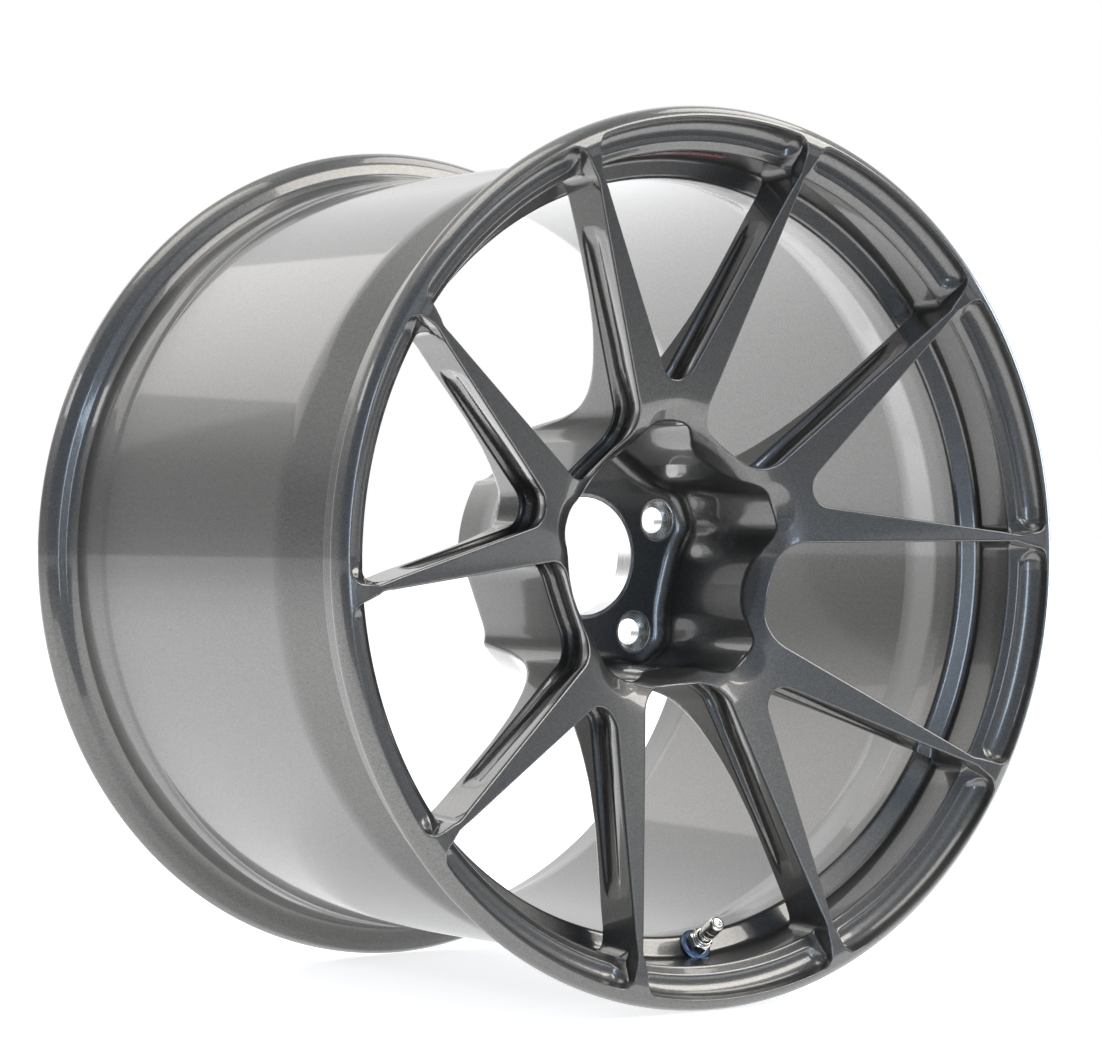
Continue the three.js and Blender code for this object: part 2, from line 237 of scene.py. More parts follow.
def both(a, b, radius):
    """Intersection whose convex edge is rounded."""
    return (np.minimum(np.maximum(a, b), -radius)
            + np.hypot(np.maximum(a + radius, 0), np.maximum(b + radius, 0)))


def either(a, b, radius):
    """Union whose inside corner is filleted."""
    return (np.maximum(np.minimum(a, b), radius)
            - np.hypot(np.maximum(radius - a, 0), np.maximum(radius - b, 0)))


class Forging:
    """Signed distance to the front rim, hub and spokes as one solid, negative inside."""

    def __init__(self, valve=False):
        self.valve = valve
        self.face = profile_table(FACE)
        self.disc = profile_table(DISC)
        self.rim = profile_table(RIM)
        self.pair = plan_table(PAIR_WINDOW)
        self.gap = plan_table(GAP_WINDOW, HALF_SECTOR)
        self.pair_step = plan_table(PAIR_STEP)
        self.gap_step = plan_table(GAP_STEP, HALF_SECTOR)
        self.pocket = plan_table(pocket_outline())

    def __call__(self, r, a, s):
        """Distance at radius r, angle a from a pair's centre line, and station s. The pattern
        repeats, and with valve every gap has the valve's hole."""
        a = np.abs((a + HALF_SECTOR) % (2 * HALF_SECTOR) - HALF_SECTOR)
        # the windows' outer walls lean inwards behind the step
        lean = (WALL_LEAN * np.clip(s - LEDGE_STATION, 0, 30)
                * np.clip((r - 196) / 14, 0, 1))
        window = np.minimum(self.pair(r + lean, a), self.gap(r + lean, a))
        disc = both(self.disc(r, s), -window, BACK_EDGE)
        blend = 0.01 + 5.0 * np.clip((s - 30) / 7, 0, 1) * np.clip((222.5 - r) / 4, 0, 1)
        body = either(disc, self.rim(r, s), blend)
        body = both(body, self.face(r, s), FRONT_EDGE)
        # countersink round each lug, then the deep pocket and the plain cuts
        lug = np.hypot(r * np.cos(a) - LUG_CIRCLE_R, r * np.sin(a))
        body = both(body, (46.2 - 0.727 * (lug - 18.85) - s) * 0.809, 0.5)
        body = both(body, -both(self.pocket(r, a), s - POCKET_FLOOR, POCKET_FILLET), 0.9)
        body = np.maximum(body, np.maximum(BORE_CUT_R - r, LUG_CUT_R - lug))
        # recess along both sides of each spoke, round the roots of the windows
        ahead = FACE_STATION - FACE_SLOPE * (r - FACE_R)
        ahead = ahead + 3.0 * np.clip((88 - r) / 14, 0, 1)
        off = s - ahead - RECESS_MIDDLE
        deep = np.interp(off, RECESS_OFF, RECESS_DEEP)
        deep = RECESS_FULL * (1 - np.hypot(1 - deep / RECESS_FULL,
                                           np.maximum(r - RECESS_END, 0) / RECESS_FADE))
        shallower = 1 - 0.55 * np.clip((r - 125) / 60, 0, 1) + 0.35 * np.clip((112 - r) / 20, 0, 1)
        deep = np.where(deep > 0, deep * shallower, deep)
        body = both(body, -(window - deep) * 0.9, 1.0)
        # step round the outer part of each window, and the chamfer inside it, which tapers
        # away round the window's corners
        outline = np.minimum(self.pair_step(r, a), self.gap_step(r, a))
        body = both(body, -both(outline, s - LEDGE_STATION, LEDGE_FILLET), STEP_EDGE)
        reach = CHAMFER - CHAMFER_TAPER * np.maximum(WALL_R - r, 0)
        chamfer = (window + s - LEDGE_STATION - reach) * math.sqrt(0.5)
        body = both(body, -np.maximum(chamfer, outline), CHAMFER_EDGE)
        if self.valve:
            x = r * np.cos(a - HALF_SECTOR) - VALVE_R
            w = r * np.sin(a - HALF_SECTOR)
            z = -math.cos(VALVE_TILT) * x - math.sin(VALVE_TILT) * (s - VALVE_STATION)
            off = np.sqrt(np.maximum(x * x + w * w + (s - VALVE_STATION) ** 2 - z * z, 0))
            within = np.maximum(z - 12, -26 - z)
            hole = np.maximum(off - 5.8, within)
            seat = np.maximum(both(off - 9.6, 0.1 - z, 0.4), within)
            back = np.maximum(both(off - 8.8, z + 8.5, 0.4), within)
            body = both(body, -np.minimum(np.minimum(hole, seat), back), 0.35)
        return body

    def gradient(self, r, a, s, h=0.15):
        gr = self(r + h, a, s) - self(r - h, a, s)
        ga = self(r, a + h / r, s) - self(r, a - h / r, s)
        gs = self(r, a, s + h) - self(r, a, s - h)
        return np.stack([gr, ga, gs], axis=-1) / (2 * h)


def settle(field, p, rounds=3):
    """Moves points (r, angle, station) onto the surface."""
    for _ in range(rounds):
        f = field(p[:, 0], p[:, 1], p[:, 2])
        g = field.gradient(p[:, 0], p[:, 1], p[:, 2])
        step = (f / np.maximum((g ** 2).sum(1), 0.25))[:, None] * g
        step = np.clip(step, -0.6, 0.6)
        p = p - np.stack([step[:, 0], step[:, 1] / p[:, 0], step[:, 2]], axis=1)
    return p


def growing(n, ratio):
    """n + 1 fractions from 0 to 1 whose last step is ratio times the first."""
    w = np.geomspace(1, ratio, n)
    return np.concatenate([[0], np.cumsum(w) / w.sum()])


def columns(field, rs):
    """Angles of the grid's columns at each radius. They follow both sides of the spoke, and
    each side runs between two close columns."""
    fine = np.linspace(0, HALF_SECTOR, 1500)
    grid_r, grid_a = np.meshgrid(rs, fine, indexing="ij")
    held = np.clip(grid_r, 113, 206)
    pair_side = fine[(field.pair(held, grid_a) < 0).sum(1)]
    held = np.clip(grid_r, 90, 206)
    gap_side = fine[len(fine) - 1 - (field.gap(held, grid_a) < 0).sum(1)]
    # smooth what the sampling rounds off
    for side in (pair_side, gap_side):
        side[1:-1] = (side[:-2] + side[1:-1] + side[2:]) / 3
    near = 0.2 / rs
    inside = np.array([0, 0.022, 0.05, 0.085, 0.13, 0.185, 0.25, 0.33, 0.415])
    inside = np.concatenate([inside, [0.5], 1 - inside[::-1]])
    lo, hi = (pair_side + near)[:, None], (gap_side - near)[:, None]
    left = (pair_side - near)[:, None] * growing(SIDE_COLUMNS, 0.22)
    middle = lo + (hi - lo) * inside
    from_centre = growing(SIDE_COLUMNS, 0.22)
    if field.valve:
        from_centre = np.concatenate([np.linspace(0, 0.18, 14)[:-1],
                                      0.18 + 0.82 * growing(SIDE_COLUMNS - 4, 0.3)])
    right = HALF_SECTOR - (HALF_SECTOR - gap_side - near)[:, None] * from_centre[::-1]
    return np.concatenate([left, middle, right], axis=1)


def layers(rs):
    """Stations of the grid's layers at each radius. They follow the face, then the back of
    the spokes, then the barrel or the hub."""
    front = FACE[(FACE[:, 0] > 62) & (FACE[:, 1] < 70)]
    face = np.interp(rs, front[:, 0], front[:, 1])
    rear = DISC[(DISC[:, 0] > 77.5) & (DISC[:, 1] > 30)]
    rear = rear[np.argsort(rear[:, 0])]
    back = np.interp(rs, rear[:, 0], rear[:, 1])
    near = face[:, None] + np.array(FACE_LAYERS)
    start = near[:, -1:]
    to_back = np.array([0.2, 0.4, 0.6, 0.8])
    spoke = np.concatenate([
        start + (back[:, None] - 2.2 - start) * to_back,
        back[:, None] + np.array([-2.2, -1.5, -0.9, -0.5, -0.2, 0.2, 0.7])], axis=1)
    barrel_rows = np.concatenate([np.arange(39.5, 60, 1.55), np.linspace(62, SPLIT_STATION, 10),
                                  [SPLIT_STATION + 4]])
    outer = np.maximum(barrel_rows[None, :], spoke[:, -1:] + 0.5
                       + 0.6 * np.arange(len(barrel_rows)))
    rim_rows = np.concatenate([spoke, outer], axis=1)
    count = rim_rows.shape[1]
    fixed_rows = np.array([*np.arange(119.5, 131, 1.05), 131.4, 131.8, 132.6, 136, 140, 143.2,
                           144.0, 144.5, 144.9, 145.3, 146.2])
    hub_rows = np.concatenate([
        start + (118.2 - start) * np.linspace(0, 1, count - len(fixed_rows) + 1)[None, 1:],
        np.repeat(fixed_rows[None, :], len(rs), axis=0)], axis=1)
    weight = np.clip((rs - 84) / 26, 0, 1)[:, None]
    weight = weight * weight * (3 - 2 * weight)
    return np.concatenate([near, hub_rows * (1 - weight) + rim_rows * weight], axis=1)


def half_sector(field):
    """Vertices (r, angle, station) and quads of the surface in half a sector, and the two
    strips of quads across its edges, whose corners are (vertex, mirrored or not)."""
    rs = np.concatenate([np.arange(a, b, step * COARSER) for a, b, step in RADIAL_STEPS])
    an = columns(field, rs)
    ss = layers(rs)
    last = an.shape[1] - 1
    f = field(rs[:, None, None], an[:, :, None], ss[:, None, :]).astype(np.float32)
    f[np.abs(f) < 1e-5] = 1e-5
    solid = f < 0
    corners = [(i, j, k) for i in (0, 1) for j in (0, 1) for k in (0, 1)]
    shape = tuple(n - 1 for n in f.shape)

    def shifted(array, c):
        return array[tuple(slice(o, o + n) for o, n in zip(c, shape))]

    total = sum(shifted(solid, c).astype(np.int8) for c in corners)
    cells = np.argwhere((total > 0) & (total < 8))
    index = np.full(shape, -1, np.int32)
    index[tuple(cells.T)] = np.arange(len(cells))
    value, place = {}, {}
    for c in corners:
        i, j, k = (cells + c).T
        value[c] = f[i, j, k]
        place[c] = np.stack([rs[i], an[i, j], ss[i, k]], axis=1)
    sums, count = np.zeros((len(cells), 3)), np.zeros(len(cells))
    for c in corners:
        for axis in range(3):
            if c[axis]:
                continue
            d = tuple(1 if i == axis else c[i] for i in range(3))
            cut = (value[c] < 0) != (value[d] < 0)
            t = np.where(cut, value[c] / (value[c] - value[d] + 1e-12), 0)[:, None]
            sums += (place[c] * (1 - t) + place[d] * t) * cut[:, None]
            count += cut
    points = sums / count[:, None]

    quads, strips = [], {0: [], 1: []}
    for axis in range(3):
        u, v = (axis + 1) % 3, (axis + 2) % 3
        lo = [slice(None)] * 3
        hi = [slice(None)] * 3
        lo[axis], hi[axis] = slice(0, -1), slice(1, None)
        change = solid[tuple(lo)] != solid[tuple(hi)]
        nodes = np.argwhere(change)
        outward = solid[tuple(lo)][change]
        keep = np.ones(len(nodes), bool)
        for o in (u, v):
            if o != 1:
                keep &= (nodes[:, o] > 0) & (nodes[:, o] < f.shape[o] - 1)
        nodes, outward = nodes[keep], outward[keep]
        ring = []
        ghost = []
        for du, dv in ((-1, -1), (0, -1), (0, 0), (-1, 0)):
            c = nodes.copy()
            c[:, u] += du
            c[:, v] += dv
            low, high = c[:, 1] < 0, c[:, 1] >= last
            c[:, 1] = np.clip(c[:, 1], 0, last - 1)
            ring.append(index[tuple(c.T)])
            ghost.append(np.where(low, 1, np.where(high, 2, 0)))
        ring, ghost = np.stack(ring, 1), np.stack(ghost, 1)
        ring[~outward] = ring[~outward][:, ::-1]
        ghost[~outward] = ghost[~outward][:, ::-1]
        edge_low, edge_high = (ghost == 1).any(1), (ghost == 2).any(1)
        inner = ~edge_low & ~edge_high
        quads.append(ring[inner])
        strips[0].append((ring[edge_low], ghost[edge_low]))
        strips[1].append((ring[edge_high], ghost[edge_high]))
    quads = np.concatenate(quads)
    strips = {e: (np.concatenate([q for q, _ in s]), np.concatenate([g for _, g in s]))
              for e, s in strips.items()}

    end = ss.shape[1] - 2          # the layer on the split plane
    behind = (cells[:, 2] >= end) & (points[:, 0] > RIM_ONLY_R)
    quads = quads[~behind[quads].any(1)]
    strips = {e: (q[~behind[q].any(1)], g[~behind[q].any(1)]) for e, (q, g) in strips.items()}
    points = settle(field, points)
    rim_end = (points[:, 0] > RIM_ONLY_R) & (cells[:, 2] == end - 1)
    halfway = (BARREL_OUTER_R + BARREL_INNER_R) / 2
    points[rim_end, 0] = np.where(points[rim_end, 0] > halfway, BARREL_OUTER_R, BARREL_INNER_R)
    middle = (an[-1, :-1] + an[-1, 1:]) / 2
    points[rim_end, 1] = middle[cells[rim_end, 1]]
    points[rim_end, 2] = SPLIT_STATION
    return points, quads, strips, middle


def to_space(p, angle=0.0, mirror=False):
    """Millimetres in the object's frame from (radius, angle, station)."""
    a = (-p[:, 1] if mirror else p[:, 1]) + angle + PAIR_ANGLE
    return np.stack([p[:, 0] * np.cos(a), p[:, 2] - HALF_WIDTH, p[:, 0] * np.sin(a)], axis=1)


def from_space(x):
    return np.stack([np.hypot(x[:, 0], x[:, 2]),
                     np.arctan2(x[:, 2], x[:, 0]) - PAIR_ANGLE, x[:, 1] + HALF_WIDTH], axis=1)


def outward(points, faces):
    """The faces of a closed mesh, turned so that they look outwards."""
    points, faces = np.asarray(points, float), np.asarray(faces)
    corner = points[faces]
    volume = sum((corner[:, 0] * np.cross(corner[:, i], corner[:, i + 1])).sum()
                 for i in range(1, faces.shape[1] - 1))
    return faces[:, ::-1] if volume < 0 else faces


def new_mesh(name, points, faces):
    me = bpy.data.meshes.new(name)
    faces = outward(points, faces)
    me.vertices.add(len(points))
    me.vertices.foreach_set("co", np.asarray(points, np.float32).ravel())
    n, k = faces.shape
    me.loops.add(n * k)
    me.loops.foreach_set("vertex_index", faces.astype(np.int32).ravel())
    me.polygons.add(n)
    me.polygons.foreach_set("loop_start", np.arange(0, n * k, k, dtype=np.int32))
    me.update(calc_edges=True)
    me.validate()
    return me


def weld(points, faces, step=1e-3):
    """Merges equal points, and drops faces that repeat a corner or another face."""
    keys = np.round(points / step).astype(np.int64)
    _, first, inverse = np.unique(keys, axis=0, return_index=True, return_inverse=True)
    faces = inverse.reshape(-1)[faces]
    ordered = np.sort(faces, axis=1)
    ok = (ordered[:, 1:] != ordered[:, :-1]).all(1)
    faces, ordered = faces[ok], ordered[ok]
    _, kept = np.unique(ordered, axis=0, return_index=True)
    return points[first], faces[np.sort(kept)]


def corner_normals(field, points, quads):
    """A normal for each corner: the surface's own over about a millimetre, turned towards the
    face's where the two are far apart."""
    a, b, c, d = (points[quads[:, i]] for i in range(4))
    flat = np.cross(c - a, d - b)
    flat /= np.maximum(np.linalg.norm(flat, axis=1), 1e-12)[:, None]
    p = from_space(points)
    g = field.gradient(p[:, 0], p[:, 1], p[:, 2], NORMAL_REACH)
    ca, sa = np.cos(p[:, 1] + PAIR_ANGLE), np.sin(p[:, 1] + PAIR_ANGLE)
    own = np.stack([g[:, 0] * ca - g[:, 1] * sa, g[:, 2], g[:, 0] * sa + g[:, 1] * ca], 1)
    own /= np.maximum(np.linalg.norm(own, axis=1), 1e-9)[:, None]
    out = own[quads]
    agree = (out * flat[:, None, :]).sum(2)
    share = np.clip((math.cos(math.radians(35)) - agree) / 0.35, 0, 1)[:, :, None]
    out = out * (1 - share) + flat[:, None, :] * share
    return out / np.linalg.norm(out, axis=2)[:, :, None]


def build_forging():
    """The forging's mesh, closed on its split plane, and the angles of the vertices there."""
    plain, holed = Forging(), Forging(valve=True)
    halves = {False: half_sector(plain), True: half_sector(holed)}
    all_points, all_faces, angles, count = [], [], [], 0

    def add(faces, *blocks):
        nonlocal count
        all_faces.append(faces + count)
        all_points.extend(blocks)
        count += sum(len(b) for b in blocks)

    for i in range(PAIRS):
        turn = 2 * HALF_SECTOR * i
        ahead, behind = i == VALVE_SECTOR, i == (VALVE_SECTOR + 1) % PAIRS
        for mirror, holes in ((False, ahead), (True, behind)):
            points, quads, _, middle = halves[holes]
            add(quads[:, ::-1] if mirror else quads, to_space(points, turn, mirror))
            angles.append(turn + (-middle[::-1] if mirror else middle))
        for edge, holes in ((0, False), (1, ahead)):
            points, _, strips, _ = halves[holes]
            q, g = strips[edge]
            across = points.copy()
            across[:, 1] = 2 * HALF_SECTOR * edge - across[:, 1]
            add(q + (g > 0) * len(points), to_space(points, turn), to_space(across, turn))
    p, f = np.concatenate(all_points), np.concatenate(all_faces)
    live = np.unique(f)
    where = np.full(len(p), -1)
    where[live] = np.arange(len(live))
    p, f = weld(p[live], where[f])
    angles = np.unique(np.round(np.concatenate(angles) % (2 * math.pi), 7))

    # close the ring between the two circles on the split plane
    polar = from_space(p)
    rings = []
    for radius in (BARREL_OUTER_R, BARREL_INNER_R):
        found = np.flatnonzero((np.abs(polar[:, 0] - radius) < 1e-3)
                               & (np.abs(polar[:, 2] - SPLIT_STATION) < 1e-3))
        rings.append(found[np.argsort(polar[found, 1] % (2 * math.pi))])
    outer, inner = rings
    cap = np.stack([outer, np.roll(outer, -1), np.roll(inner, -1), inner], 1)
    f = outward(p, np.concatenate([f, cap]))

    near_valve = np.abs((from_space(p)[:, 1] - (2 * VALVE_SECTOR + 1) * HALF_SECTOR + math.pi)
                        % (2 * math.pi) - math.pi) < 0.12
    normals = corner_normals(plain, p, f)
    local = near_valve[f].any(1)
    normals[local] = corner_normals(holed, p, f[local])
    me = new_mesh("forged_face", p * MM, f)
    if len(me.polygons) == len(f):
        me.normals_split_custom_set(normals.reshape(-1, 3).tolist())
    return me, angles + PAIR_ANGLE


forging_mesh, rim_angles = build_forging()
forging = bpy.data.objects.new("forged_face", forging_mesh)
bpy.context.scene.collection.objects.link(forging)
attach(forging, "root")
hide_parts("front_rim", "hub_centre", *[f"spoke_{i:02d}" for i in range(1, 11)])


# ---- barrel and other turned pieces ----

def link(name, me, body="root", stands_for=()):
    ob = bpy.data.objects.new(name, me)
    bpy.context.scene.collection.objects.link(ob)
    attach(ob, body)
    if stands_for:
        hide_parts(*stands_for)
    return ob


def smooth(me, degrees=30):
    me.polygons.foreach_set("use_smooth", [True] * len(me.polygons))
    me.set_sharp_from_angle(angle=math.radians(degrees))


def turned(name, profile, angles, place=None, closed=True):
    """Surface of revolution of a profile [(r, h)], h along the axis; place maps the points
    (n, 3) with the axis along Z to the object's frame."""
    profile = np.asarray(profile, float)
    n, m = len(profile), len(angles)
    ca, sa = np.cos(angles), np.sin(angles)
    pts = np.empty((n, m, 3))
    pts[:, :, 0] = profile[:, 0, None] * ca
    pts[:, :, 1] = profile[:, 0, None] * sa
    pts[:, :, 2] = profile[:, 1, None]
    rows = range(n if closed else n - 1)
    i = np.array([[a * m + b for b in range(m)] for a in rows])
    j = (i + m) % (n * m)
    nxt = np.roll(np.arange(m), -1)
    faces = np.stack([i, i[:, nxt], j[:, nxt], j], axis=-1).reshape(-1, 4)
    pts = pts.reshape(-1, 3)
    if place is not None:
        pts = place(pts)
    return new_mesh(name, pts * MM, faces)


def on_wheel_axis(p):
    """Local Z is the station."""
    return np.stack([p[:, 0], p[:, 2] - HALF_WIDTH, p[:, 1]], axis=1)


BARREL = filleted([
    (BARREL_OUTER_R, SPLIT_STATION, 0), (BARREL_OUTER_R, 287, 6), (228.4, 290.5, 6),
    (229.4, 296.5, 30), (230.8, 315.5, 6), (233.6, 319.6, 5), (240.8, 321.2, 8), (245.8, 324.6, 6),
    (248.3, 329.6, 5), (247.4, 333.0, 3), (243.4, 334, 4), (236.8, 330.4, 8),
    (228.6, 325.6, 6), (225.4, 310, 40), (BARREL_INNER_R, 293, 40),
    (BARREL_INNER_R, SPLIT_STATION, 0)], 7)

barrel_mesh = turned("barrel", BARREL, rim_angles, on_wheel_axis)
smooth(barrel_mesh, 40)
barrel = link("barrel", barrel_mesh, stands_for=["rear_rim"])


def all_round(n):
    return np.linspace(0, 2 * math.pi, n, endpoint=False)


bore_profile = filleted([(34.05, POCKET_FLOOR + 0.35, 0), (34.4, POCKET_FLOOR - 0.04, 0),
                         (36.2, POCKET_FLOOR - 0.04, 0), (36.2, HUB_BACK + 0.04, 0),
                         (34.5, HUB_BACK + 0.04, 0), (34.05, HUB_BACK - 0.4, 0)])
bore_mesh = turned("hub_bore_land", bore_profile, all_round(256), on_wheel_axis)
smooth(bore_mesh, 25)
bore = link("hub_bore_land", bore_mesh)

seat_profile = [(7.6, POCKET_FLOOR + 5.6), (11.35, POCKET_FLOOR + 0.1),
                (11.6, POCKET_FLOOR - 0.05), (12.6, POCKET_FLOOR - 0.04),
                (12.6, HUB_BACK + 0.04), (8.1, HUB_BACK + 0.04), (7.6, HUB_BACK - 0.5)]
seats = []
for k in range(PAIRS):
    ang = PAIR_ANGLE + 2 * HALF_SECTOR * k
    shift = np.array([LUG_CIRCLE_R * math.cos(ang), 0, LUG_CIRCLE_R * math.sin(ang)])
    me = turned(f"lug_seat_{k + 1}", seat_profile, all_round(96),
                lambda p: on_wheel_axis(p) + shift)
    smooth(me, 20)
    seats.append(link(f"lug_seat_{k + 1}", me))


# ---- valve ----

valve_angle = PAIR_ANGLE + (2 * VALVE_SECTOR + 1) * HALF_SECTOR
valve_out = Vector((math.cos(valve_angle), 0, math.sin(valve_angle)))
valve_axis = -math.cos(VALVE_TILT) * valve_out + Vector((0, -math.sin(VALVE_TILT), 0))
valve_turn = np.array(Vector((0, 0, 1)).rotation_difference(valve_axis).to_matrix())
valve_origin = np.array(valve_out * VALVE_R) + np.array((0, VALVE_STATION - HALF_WIDTH, 0))

NUT_APOTHEM = 6.15
STEM_THREAD_R = 3.85
THREAD_PITCH, THREAD_DEPTH = 25.4 / 32, 0.42
WASHER_TEETH = 40


def on_valve(p):
    """Local Z runs along the valve's axis, from the rim's slope to the cap."""
    return p @ valve_turn.T + valve_origin


def reshaped(radius):
    """Placing function that first sets each point's distance from the axis."""
    def place(p):
        r, t = np.hypot(p[:, 0], p[:, 1]), np.arctan2(p[:, 1], p[:, 0])
        new = radius(r, t, p[:, 2])
        return on_valve(np.stack([new * np.cos(t), new * np.sin(t), p[:, 2]], axis=1))
    return place


def threads(r, t, z):
    wave = np.abs((z / THREAD_PITCH - t / (2 * math.pi)) % 1 - 0.5) * 2
    cut = np.clip(1.25 * wave - 0.12, 0, 1) * THREAD_DEPTH
    fade = np.clip((z - 11.6) / 0.8, 0, 1) * np.clip((22.9 - z) / 0.5, 0, 1)
    return r - cut * fade * (r > 3.7)


def hexagon(r, t, z):
    across = NUT_APOTHEM / np.cos((t + math.pi / 6) % (math.pi / 3) - math.pi / 6)
    return np.where(r > 5.7, np.minimum(r, across), r)


def serrated(r, t, z):
    wave = np.abs((t * WASHER_TEETH / (2 * math.pi)) % 1 - 0.5) * 2
    return np.where((r > 7.0) & (r < 8.2) & (z > 1.0), r + 0.55 * (wave - 0.5), r)


# the turned profiles below are (distance from the valve's axis, height along it)
def valve_piece(name, profile, body="root", place=on_valve, segments=96, edge=28):
    me = turned(name, profile, all_round(segments), place)
    smooth(me, edge)
    return link(name + "_piece", me, body, [name])


z_thread = np.arange(11.0, 22.7, 0.1)
stem = valve_piece("valve_stem", np.concatenate([filleted([
    (2.5, -16.0, 0.2), (4.4, -16.0, 0.4), (8.0, -14.7, 0.8), (8.0, -11.9, 0.3),
    (4.1, -11.7, 0.2), (4.1, 0.6, 0.2), (STEM_THREAD_R, 1.0, 0)], 4),
    np.stack([np.full(len(z_thread), STEM_THREAD_R), z_thread], 1),
    [(STEM_THREAD_R, 22.8), (3.45, 23.2), (2.7, 23.2), (2.5, 23.0)]]),
    place=reshaped(threads))
chamfer = np.linspace(0, 1, 16)
nut = valve_piece("valve_nut", np.concatenate([
    [(4.15, 1.9), (6.3, 1.9)], np.stack([6.3 + 0.85 * chamfer, 1.95 + 0.5 * chamfer], 1),
    np.stack([7.15 - 1.25 * chamfer, 6.85 + 0.75 * chamfer], 1),
    filleted([(5.62, 7.62, 0), (5.55, 8.5, 0.3), (5.15, 8.7, 0.2), (5.15, 9.0, 0.2),
              (5.45, 9.2, 0.2), (5.35, 10.4, 0.5), (4.15, 10.4, 0.3)], 4)]),
    place=reshaped(hexagon), segments=360)
washer = valve_piece("valve_washer", filleted([
    (4.35, 0.16, 0), (9.2, 0.16, 0.1), (9.35, 0.45, 0.15), (8.35, 1.02, 0.12),
    (8.1, 1.06, 0), (7.75, 1.22, 0), (7.3, 1.45, 0), (6.7, 1.6, 0.1), (4.35, 1.6, 0.1)], 4),
    place=reshaped(serrated), segments=480)
tyre_seal = valve_piece("valve_tyre_side_seal", filleted([
    (4.4, -11.4, 0), (7.9, -11.4, 0.7), (7.9, -8.8, 0.7), (5.5, -8.75, 0.2), (5.5, -1.2, 0.3),
    (4.4, -1.2, 0.3)], 5))
core = valve_piece("valve_core_body", filleted([
    (0.85, 10.7, 0), (2.0, 10.7, 0.1), (2.2, 11.2, 0.2), (2.2, 14.5, 0), (2.05, 14.7, 0),
    (2.05, 15.4, 0), (2.2, 15.6, 0), (2.2, 22.4, 0.25), (0.85, 22.4, 0.2), (0.85, 20.2, 0),
    (1.75, 20.2, 0.1), (1.75, 12.0, 0.1), (0.85, 12.0, 0)], 4))
pin = valve_piece("valve_core_pin", filleted([
    (0, 7.9, 0), (1.6, 7.9, 0.25), (1.9, 8.6, 0.2), (1.9, 10.0, 0.2), (0.55, 10.4, 0.1),
    (0.55, 18.2, 0), (1.5, 18.2, 0.08), (1.5, 18.7, 0.08), (0.55, 18.7, 0),
    (0.55, 22.75, 0.25), (0, 22.9, 0)], 4), "core_pin", segments=48)
cap = valve_piece("valve_cap", filleted([
    (4.15, 13.8, 0.1), (4.3, 13.6, 0.08), (4.5, 13.9, 0.15), (4.5, 14.9, 0.1), (4.3, 15.1, 0.1),
    (4.3, 15.7, 0.1), (4.5, 15.9, 0.1), (4.5, 18.9, 0.1), (4.4, 19.05, 0.1), (4.4, 19.3, 0.1),
    (4.5, 19.45, 0.1), (4.5, 24.4, 0.9), (3.9, 25.75, 0.9), (2.5, 26.2, 0.4), (1.9, 26.1, 0.3),
    (1.2, 25.6, 0.5), (0, 25.5, 0), (0, 24.4, 0), (4.15, 24.4, 0.2)], 6),
    "cap", edge=35)
cap_seal = valve_piece("valve_cap_seal", filleted([
    (1.3, 23.5, 0.15), (3.6, 23.5, 0.2), (3.6, 24.1, 0.2), (1.3, 24.1, 0.15)], 4),
    "cap_seal")


def coil(name, radius, wire, low, high, turns, steps=28, sides=10):
    """Closed helical spring about the local Z axis."""
    t = np.linspace(0, turns * 2 * math.pi, int(turns * steps) + 1)
    # the end turns lie flat
    climb = np.clip((t / (2 * math.pi) - 0.6) / (turns - 1.2), 0, 1)
    centre = np.stack([radius * np.cos(t), radius * np.sin(t), low + (high - low) * climb], 1)
    along = np.gradient(centre, axis=0)
    along /= np.linalg.norm(along, axis=1)[:, None]
    out = np.stack([np.cos(t), np.sin(t), np.zeros_like(t)], 1)
    side = np.cross(along, out)
    a = np.arange(sides) * 2 * math.pi / sides
    pts = (centre[:, None] + wire * (np.cos(a)[None, :, None] * out[:, None]
                                     + np.sin(a)[None, :, None] * side[:, None]))
    n = len(t)
    faces = [[i * sides + k, (i + 1) * sides + k, (i + 1) * sides + (k + 1) % sides,
              i * sides + (k + 1) % sides] for i in range(n - 1) for k in range(sides)]
    pts = np.concatenate([pts.reshape(-1, 3), centre[:1], centre[-1:]])
    ends = [[n * sides, k, (k + 1) % sides] for k in range(sides)]
    ends += [[n * sides + 1, (n - 1) * sides + (k + 1) % sides, (n - 1) * sides + k]
             for k in range(sides)]
    me = bpy.data.meshes.new(name)
    me.from_pydata((on_valve(pts) * MM).tolist(), [], faces + ends)
    me.validate()
    smooth(me, 50)
    return me


spring = link("valve_core_spring_piece", coil("valve_core_spring", 1.2, 0.2, 12.35, 16.65, 5),
              "root", ["valve_core_spring"])


# ---- label on the top window's outer wall ----

LABEL_ANGLE = PAIR_ANGLE + 2 * HALF_SECTOR
LABEL_HALF, LABEL_FROM, LABEL_TO = math.radians(8), 19.7, 32.5


def wall_radius(s):
    return WALL_R - WALL_OUTSIDE - WALL_LEAN * (s - LEDGE_STATION)


